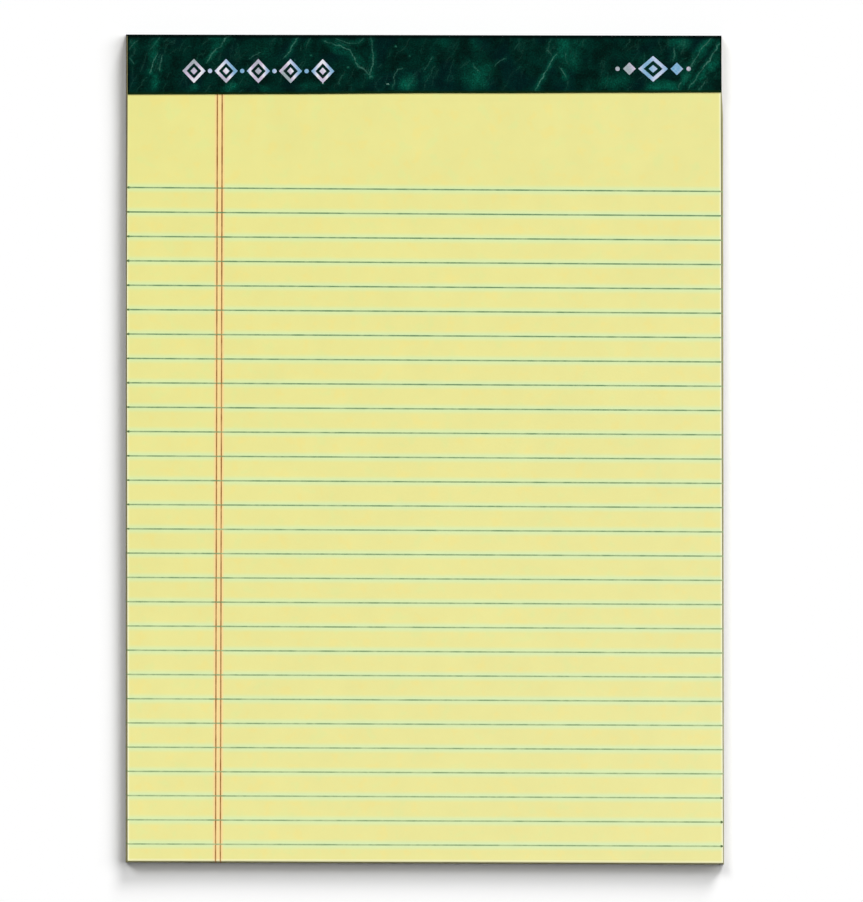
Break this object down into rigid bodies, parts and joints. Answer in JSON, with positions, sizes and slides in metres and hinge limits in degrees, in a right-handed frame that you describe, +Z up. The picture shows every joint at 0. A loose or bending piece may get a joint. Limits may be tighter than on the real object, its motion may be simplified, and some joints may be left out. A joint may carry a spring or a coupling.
{
  "type": "legal pad",
  "caption": "Letter-width legal pad lying face up: ruled canary sheets with a double margin line on a chipboard back, stapled and bound at the head with a folded marbled strip.",
  "frame": {"origin": "middle of the pad's outline, level with the underside of the binding strip's back flap, on which the pad lies", "axes": "+Z up out of the ruled sheets, +Y along the length towards the bound head, +X across the sheets to the reader's right"},
  "size_m": [0.2156, 0.2992, 0.0062],
  "materials": {
    "canary_paper": "uncoated, matte, canary yellow",
    "chipboard": "uncoated grey-brown chipboard, matte",
    "marbled_strip": "dark green marbled print, semi-gloss",
    "staple_wire": "drawn galvanised wire"
  },
  "bodies": {
    "root": {"sheet_block": "canary_paper", "back_board": "chipboard", "binding_strip": "marbled_strip", "staple_left": "staple_wire", "staple_middle": "staple_wire", "staple_right": "staple_wire"}
  },
  "joints": []
}
